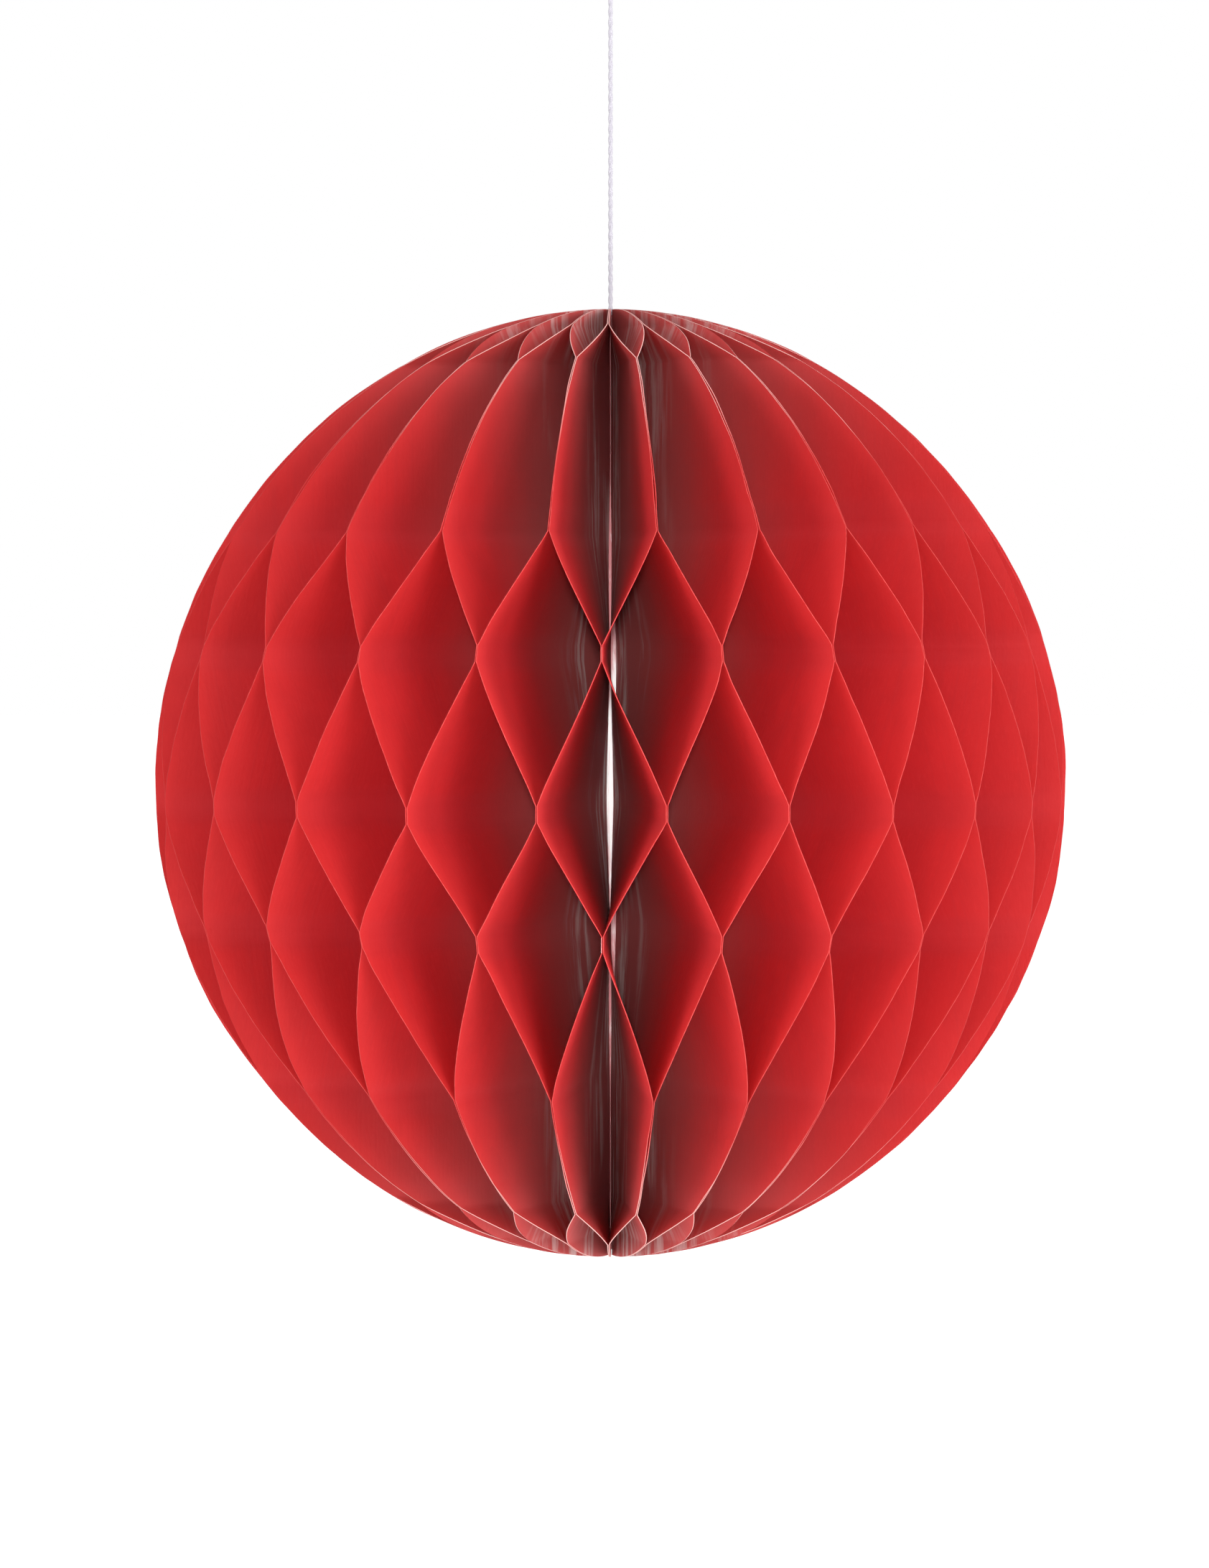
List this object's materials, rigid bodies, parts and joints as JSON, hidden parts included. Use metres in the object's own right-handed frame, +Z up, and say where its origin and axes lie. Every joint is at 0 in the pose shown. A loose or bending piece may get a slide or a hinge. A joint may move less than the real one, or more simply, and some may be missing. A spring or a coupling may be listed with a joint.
{
  "type": "paper honeycomb ball",
  "caption": "Hanging paper honeycomb ball: wavy half-disc leaves glued into diamond cells around a white paper spine, closed by tape, on a twine with a knotted loop.",
  "frame": {"origin": "top of the hanging loop, where its twine bears on the hook", "axes": "+Z up along the twine and the ball's spine; -Y is the front, where the opened fan's two end leaves are taped together; +X to the right seen from the front"},
  "size_m": [0.2404, 0.2392, 0.3879],
  "materials": {
    "leaf_paper": "matte",
    "sleeve_paper": "matte",
    "tape": "satin",
    "twine": "matte"
  },
  "bodies": {
    "hanger": {"hanging_twine": "twine", "twine_loop": "twine", "loop_knot": "twine", "stopper_knot": "twine"},
    "spine": {"spine_sleeve": "sleeve_paper", "leaf_01": "leaf_paper", "upper_closing_tape": "tape", "lower_closing_tape": "tape"},
    "leaf_02": {"leaf_02": "leaf_paper"},
    "leaf_03": {"leaf_03": "leaf_paper"},
    "leaf_04": {"leaf_04": "leaf_paper"},
    "leaf_05": {"leaf_05": "leaf_paper"},
    "leaf_06": {"leaf_06": "leaf_paper"},
    "leaf_07": {"leaf_07": "leaf_paper"},
    "leaf_08": {"leaf_08": "leaf_paper"},
    "leaf_09": {"leaf_09": "leaf_paper"},
    "leaf_10": {"leaf_10": "leaf_paper"},
    "leaf_11": {"leaf_11": "leaf_paper"},
    "leaf_12": {"leaf_12": "leaf_paper"},
    "leaf_13": {"leaf_13": "leaf_paper"},
    "leaf_14": {"leaf_14": "leaf_paper"},
    "leaf_15": {"leaf_15": "leaf_paper"},
    "leaf_16": {"leaf_16": "leaf_paper"},
    "leaf_17": {"leaf_17": "leaf_paper"},
    "leaf_18": {"leaf_18": "leaf_paper"},
    "leaf_19": {"leaf_19": "leaf_paper"},
    "leaf_20": {"leaf_20": "leaf_paper"},
    "leaf_21": {"leaf_21": "leaf_paper"},
    "leaf_22": {"leaf_22": "leaf_paper"},
    "leaf_23": {"leaf_23": "leaf_paper"},
    "leaf_24": {"leaf_24": "leaf_paper"},
    "leaf_25": {"leaf_25": "leaf_paper"},
    "leaf_26": {"leaf_26": "leaf_paper"},
    "leaf_27": {"leaf_27": "leaf_paper"},
    "leaf_28": {"leaf_28": "leaf_paper"},
    "leaf_29": {"leaf_29": "leaf_paper"},
    "leaf_30": {"leaf_30": "leaf_paper"},
    "leaf_31": {"leaf_31": "leaf_paper"},
    "leaf_32": {"leaf_32": "leaf_paper"},
    "leaf_33": {"leaf_33": "leaf_paper"},
    "leaf_34": {"leaf_34": "leaf_paper"},
    "leaf_35": {"leaf_35": "leaf_paper"},
    "leaf_36": {"leaf_36": "leaf_paper"},
    "leaf_37": {"leaf_37": "leaf_paper"},
    "leaf_38": {"leaf_38": "leaf_paper"},
    "leaf_39": {"leaf_39": "leaf_paper"},
    "leaf_40": {"leaf_40": "leaf_paper"},
    "leaf_41": {"leaf_41": "leaf_paper"},
    "leaf_42": {"leaf_42": "leaf_paper"},
    "leaf_43": {"leaf_43": "leaf_paper"},
    "leaf_44": {"leaf_44": "leaf_paper"},
    "leaf_45": {"leaf_45": "leaf_paper"},
    "leaf_46": {"leaf_46": "leaf_paper"},
    "leaf_47": {"leaf_47": "leaf_paper"},
    "leaf_48": {"leaf_48": "leaf_paper"}
  },
  "joints": [
    {"name": "ball_spin", "type": "hinge", "parent": "hanger", "child": "spine", "pos_m": [0, 0, -0.262], "axis": [0, 0, 1], "continuous": true},
    {"name": "fan_fold", "type": "hinge", "parent": "spine", "child": "leaf_48", "pos_m": [0, 0, -0.262], "axis": [0, 0, 1], "range_deg": [-345.45, 0], "deforming": ["leaf_48", "leaf_01"]},
    {"name": "leaf_02_fold", "type": "hinge", "parent": "spine", "child": "leaf_02", "pos_m": [0, 0, -0.262], "axis": [0, 0, 1], "range_deg": [-7.25, 0], "deforming": ["leaf_02"]},
    {"name": "leaf_03_fold", "type": "hinge", "parent": "spine", "child": "leaf_03", "pos_m": [0, 0, -0.262], "axis": [0, 0, 1], "range_deg": [-14.4, 0], "deforming": ["leaf_03"]},
    {"name": "leaf_04_fold", "type": "hinge", "parent": "spine", "child": "leaf_04", "pos_m": [0, 0, -0.262], "axis": [0, 0, 1], "range_deg": [-21.44, 0], "deforming": ["leaf_04"]},
    {"name": "leaf_05_fold", "type": "hinge", "parent": "spine", "child": "leaf_05", "pos_m": [0, 0, -0.262], "axis": [0, 0, 1], "range_deg": [-28.39, 0], "deforming": ["leaf_05"]},
    {"name": "leaf_06_fold", "type": "hinge", "parent": "spine", "child": "leaf_06", "pos_m": [0, 0, -0.262], "axis": [0, 0, 1], "range_deg": [-35.24, 0], "deforming": ["leaf_06"]},
    {"name": "leaf_07_fold", "type": "hinge", "parent": "spine", "child": "leaf_07", "pos_m": [0, 0, -0.262], "axis": [0, 0, 1], "range_deg": [-42.02, 0], "deforming": ["leaf_07"]},
    {"name": "leaf_08_fold", "type": "hinge", "parent": "spine", "child": "leaf_08", "pos_m": [0, 0, -0.262], "axis": [0, 0, 1], "range_deg": [-48.73, 0], "deforming": ["leaf_08"]},
    {"name": "leaf_09_fold", "type": "hinge", "parent": "spine", "child": "leaf_09", "pos_m": [0, 0, -0.262], "axis": [0, 0, 1], "range_deg": [-55.39, 0], "deforming": ["leaf_09"]},
    {"name": "leaf_10_fold", "type": "hinge", "parent": "spine", "child": "leaf_10", "pos_m": [0, 0, -0.262], "axis": [0, 0, 1], "range_deg": [-61.99, 0], "deforming": ["leaf_10"]},
    {"name": "leaf_11_fold", "type": "hinge", "parent": "spine", "child": "leaf_11", "pos_m": [0, 0, -0.262], "axis": [0, 0, 1], "range_deg": [-68.56, 0], "deforming": ["leaf_11"]},
    {"name": "leaf_12_fold", "type": "hinge", "parent": "spine", "child": "leaf_12", "pos_m": [0, 0, -0.262], "axis": [0, 0, 1], "range_deg": [-75.11, 0], "deforming": ["leaf_12"]},
    {"name": "leaf_13_fold", "type": "hinge", "parent": "spine", "child": "leaf_13", "pos_m": [0, 0, -0.262], "axis": [0, 0, 1], "range_deg": [-81.66, 0], "deforming": ["leaf_13"]},
    {"name": "leaf_14_fold", "type": "hinge", "parent": "spine", "child": "leaf_14", "pos_m": [0, 0, -0.262], "axis": [0, 0, 1], "range_deg": [-88.21, 0], "deforming": ["leaf_14"]},
    {"name": "leaf_15_fold", "type": "hinge", "parent": "spine", "child": "leaf_15", "pos_m": [0, 0, -0.262], "axis": [0, 0, 1], "range_deg": [-94.78, 0], "deforming": ["leaf_15"]},
    {"name": "leaf_16_fold", "type": "hinge", "parent": "spine", "child": "leaf_16", "pos_m": [0, 0, -0.262], "axis": [0, 0, 1], "range_deg": [-101.38, 0], "deforming": ["leaf_16"]},
    {"name": "leaf_17_fold", "type": "hinge", "parent": "spine", "child": "leaf_17", "pos_m": [0, 0, -0.262], "axis": [0, 0, 1], "range_deg": [-108.04, 0], "deforming": ["leaf_17"]},
    {"name": "leaf_18_fold", "type": "hinge", "parent": "spine", "child": "leaf_18", "pos_m": [0, 0, -0.262], "axis": [0, 0, 1], "range_deg": [-114.75, 0], "deforming": ["leaf_18"]},
    {"name": "leaf_19_fold", "type": "hinge", "parent": "spine", "child": "leaf_19", "pos_m": [0, 0, -0.262], "axis": [0, 0, 1], "range_deg": [-121.53, 0], "deforming": ["leaf_19"]},
    {"name": "leaf_20_fold", "type": "hinge", "parent": "spine", "child": "leaf_20", "pos_m": [0, 0, -0.262], "axis": [0, 0, 1], "range_deg": [-128.38, 0], "deforming": ["leaf_20"]},
    {"name": "leaf_21_fold", "type": "hinge", "parent": "spine", "child": "leaf_21", "pos_m": [0, 0, -0.262], "axis": [0, 0, 1], "range_deg": [-135.33, 0], "deforming": ["leaf_21"]},
    {"name": "leaf_22_fold", "type": "hinge", "parent": "spine", "child": "leaf_22", "pos_m": [0, 0, -0.262], "axis": [0, 0, 1], "range_deg": [-142.37, 0], "deforming": ["leaf_22"]},
    {"name": "leaf_23_fold", "type": "hinge", "parent": "spine", "child": "leaf_23", "pos_m": [0, 0, -0.262], "axis": [0, 0, 1], "range_deg": [-149.51, 0], "deforming": ["leaf_23"]},
    {"name": "leaf_24_fold", "type": "hinge", "parent": "spine", "child": "leaf_24", "pos_m": [0, 0, -0.262], "axis": [0, 0, 1], "range_deg": [-156.76, 0], "deforming": ["leaf_24"]},
    {"name": "leaf_25_fold", "type": "hinge", "parent": "spine", "child": "leaf_25", "pos_m": [0, 0, -0.262], "axis": [0, 0, 1], "range_deg": [-164.11, 0], "deforming": ["leaf_25"]},
    {"name": "leaf_26_fold", "type": "hinge", "parent": "spine", "child": "leaf_26", "pos_m": [0, 0, -0.262], "axis": [0, 0, 1], "range_deg": [-171.56, 0], "deforming": ["leaf_26"]},
    {"name": "leaf_27_fold", "type": "hinge", "parent": "spine", "child": "leaf_27", "pos_m": [0, 0, -0.262], "axis": [0, 0, 1], "range_deg": [-179.12, 0], "deforming": ["leaf_27"]},
    {"name": "leaf_28_fold", "type": "hinge", "parent": "spine", "child": "leaf_28", "pos_m": [0, 0, -0.262], "axis": [0, 0, 1], "range_deg": [-186.78, 0], "deforming": ["leaf_28"]},
    {"name": "leaf_29_fold", "type": "hinge", "parent": "spine", "child": "leaf_29", "pos_m": [0, 0, -0.262], "axis": [0, 0, 1], "range_deg": [-194.53, 0], "deforming": ["leaf_29"]},
    {"name": "leaf_30_fold", "type": "hinge", "parent": "spine", "child": "leaf_30", "pos_m": [0, 0, -0.262], "axis": [0, 0, 1], "range_deg": [-202.38, 0], "deforming": ["leaf_30"]},
    {"name": "leaf_31_fold", "type": "hinge", "parent": "spine", "child": "leaf_31", "pos_m": [0, 0, -0.262], "axis": [0, 0, 1], "range_deg": [-210.3, 0], "deforming": ["leaf_31"]},
    {"name": "leaf_32_fold", "type": "hinge", "parent": "spine", "child": "leaf_32", "pos_m": [0, 0, -0.262], "axis": [0, 0, 1], "range_deg": [-218.29, 0], "deforming": ["leaf_32"]},
    {"name": "leaf_33_fold", "type": "hinge", "parent": "spine", "child": "leaf_33", "pos_m": [0, 0, -0.262], "axis": [0, 0, 1], "range_deg": [-226.33, 0], "deforming": ["leaf_33"]},
    {"name": "leaf_34_fold", "type": "hinge", "parent": "spine", "child": "leaf_34", "pos_m": [0, 0, -0.262], "axis": [0, 0, 1], "range_deg": [-234.43, 0], "deforming": ["leaf_34"]},
    {"name": "leaf_35_fold", "type": "hinge", "parent": "spine", "child": "leaf_35", "pos_m": [0, 0, -0.262], "axis": [0, 0, 1], "range_deg": [-242.56, 0], "deforming": ["leaf_35"]},
    {"name": "leaf_36_fold", "type": "hinge", "parent": "spine", "child": "leaf_36", "pos_m": [0, 0, -0.262], "axis": [0, 0, 1], "range_deg": [-250.71, 0], "deforming": ["leaf_36"]},
    {"name": "leaf_37_fold", "type": "hinge", "parent": "spine", "child": "leaf_37", "pos_m": [0, 0, -0.262], "axis": [0, 0, 1], "range_deg": [-258.86, 0], "deforming": ["leaf_37"]},
    {"name": "leaf_38_fold", "type": "hinge", "parent": "spine", "child": "leaf_38", "pos_m": [0, 0, -0.262], "axis": [0, 0, 1], "range_deg": [-267.01, 0], "deforming": ["leaf_38"]},
    {"name": "leaf_39_fold", "type": "hinge", "parent": "spine", "child": "leaf_39", "pos_m": [0, 0, -0.262], "axis": [0, 0, 1], "range_deg": [-275.14, 0], "deforming": ["leaf_39"]},
    {"name": "leaf_40_fold", "type": "hinge", "parent": "spine", "child": "leaf_40", "pos_m": [0, 0, -0.262], "axis": [0, 0, 1], "range_deg": [-283.24, 0], "deforming": ["leaf_40"]},
    {"name": "leaf_41_fold", "type": "hinge", "parent": "spine", "child": "leaf_41", "pos_m": [0, 0, -0.262], "axis": [0, 0, 1], "range_deg": [-291.28, 0], "deforming": ["leaf_41"]},
    {"name": "leaf_42_fold", "type": "hinge", "parent": "spine", "child": "leaf_42", "pos_m": [0, 0, -0.262], "axis": [0, 0, 1], "range_deg": [-299.27, 0], "deforming": ["leaf_42"]},
    {"name": "leaf_43_fold", "type": "hinge", "parent": "spine", "child": "leaf_43", "pos_m": [0, 0, -0.262], "axis": [0, 0, 1], "range_deg": [-307.19, 0], "deforming": ["leaf_43"]},
    {"name": "leaf_44_fold", "type": "hinge", "parent": "spine", "child": "leaf_44", "pos_m": [0, 0, -0.262], "axis": [0, 0, 1], "range_deg": [-315.03, 0], "deforming": ["leaf_44"]},
    {"name": "leaf_45_fold", "type": "hinge", "parent": "spine", "child": "leaf_45", "pos_m": [0, 0, -0.262], "axis": [0, 0, 1], "range_deg": [-322.79, 0], "deforming": ["leaf_45"]},
    {"name": "leaf_46_fold", "type": "hinge", "parent": "spine", "child": "leaf_46", "pos_m": [0, 0, -0.262], "axis": [0, 0, 1], "range_deg": [-330.45, 0], "deforming": ["leaf_46"]},
    {"name": "leaf_47_fold", "type": "hinge", "parent": "spine", "child": "leaf_47", "pos_m": [0, 0, -0.262], "axis": [0, 0, 1], "range_deg": [-338, 0], "deforming": ["leaf_47"]}
  ],
  "couplings": [
    {"joint": "leaf_02_fold", "follows": "fan_fold", "ratio": 0.020972},
    {"joint": "leaf_03_fold", "follows": "fan_fold", "ratio": 0.041645},
    {"joint": "leaf_04_fold", "follows": "fan_fold", "ratio": 0.062028},
    {"joint": "leaf_05_fold", "follows": "fan_fold", "ratio": 0.082138},
    {"joint": "leaf_06_fold", "follows": "fan_fold", "ratio": 0.10199},
    {"joint": "leaf_07_fold", "follows": "fan_fold", "ratio": 0.12162},
    {"joint": "leaf_08_fold", "follows": "fan_fold", "ratio": 0.14105},
    {"joint": "leaf_09_fold", "follows": "fan_fold", "ratio": 0.1603},
    {"joint": "leaf_10_fold", "follows": "fan_fold", "ratio": 0.17942},
    {"joint": "leaf_11_fold", "follows": "fan_fold", "ratio": 0.19844},
    {"joint": "leaf_12_fold", "follows": "fan_fold", "ratio": 0.21741},
    {"joint": "leaf_13_fold", "follows": "fan_fold", "ratio": 0.23635},
    {"joint": "leaf_14_fold", "follows": "fan_fold", "ratio": 0.25531},
    {"joint": "leaf_15_fold", "follows": "fan_fold", "ratio": 0.27433},
    {"joint": "leaf_16_fold", "follows": "fan_fold", "ratio": 0.29346},
    {"joint": "leaf_17_fold", "follows": "fan_fold", "ratio": 0.31271},
    {"joint": "leaf_18_fold", "follows": "fan_fold", "ratio": 0.33214},
    {"joint": "leaf_19_fold", "follows": "fan_fold", "ratio": 0.35176},
    {"joint": "leaf_20_fold", "follows": "fan_fold", "ratio": 0.37162},
    {"joint": "leaf_21_fold", "follows": "fan_fold", "ratio": 0.39173},
    {"joint": "leaf_22_fold", "follows": "fan_fold", "ratio": 0.41211},
    {"joint": "leaf_23_fold", "follows": "fan_fold", "ratio": 0.43278},
    {"joint": "leaf_24_fold", "follows": "fan_fold", "ratio": 0.45376},
    {"joint": "leaf_25_fold", "follows": "fan_fold", "ratio": 0.47503},
    {"joint": "leaf_26_fold", "follows": "fan_fold", "ratio": 0.49661},
    {"joint": "leaf_27_fold", "follows": "fan_fold", "ratio": 0.51849},
    {"joint": "leaf_28_fold", "follows": "fan_fold", "ratio": 0.54066},
    {"joint": "leaf_29_fold", "follows": "fan_fold", "ratio": 0.56311},
    {"joint": "leaf_30_fold", "follows": "fan_fold", "ratio": 0.5858},
    {"joint": "leaf_31_fold", "follows": "fan_fold", "ratio": 0.60873},
    {"joint": "leaf_32_fold", "follows": "fan_fold", "ratio": 0.63186},
    {"joint": "leaf_33_fold", "follows": "fan_fold", "ratio": 0.65516},
    {"joint": "leaf_34_fold", "follows": "fan_fold", "ratio": 0.67859},
    {"joint": "leaf_35_fold", "follows": "fan_fold", "ratio": 0.70212},
    {"joint": "leaf_36_fold", "follows": "fan_fold", "ratio": 0.72571},
    {"joint": "leaf_37_fold", "follows": "fan_fold", "ratio": 0.74932},
    {"joint": "leaf_38_fold", "follows": "fan_fold", "ratio": 0.77291},
    {"joint": "leaf_39_fold", "follows": "fan_fold", "ratio": 0.79644},
    {"joint": "leaf_40_fold", "follows": "fan_fold", "ratio": 0.81988},
    {"joint": "leaf_41_fold", "follows": "fan_fold", "ratio": 0.84317},
    {"joint": "leaf_42_fold", "follows": "fan_fold", "ratio": 0.8663},
    {"joint": "leaf_43_fold", "follows": "fan_fold", "ratio": 0.88923},
    {"joint": "leaf_44_fold", "follows": "fan_fold", "ratio": 0.91192},
    {"joint": "leaf_45_fold", "follows": "fan_fold", "ratio": 0.93437},
    {"joint": "leaf_46_fold", "follows": "fan_fold", "ratio": 0.95654},
    {"joint": "leaf_47_fold", "follows": "fan_fold", "ratio": 0.97842}
  ]
}
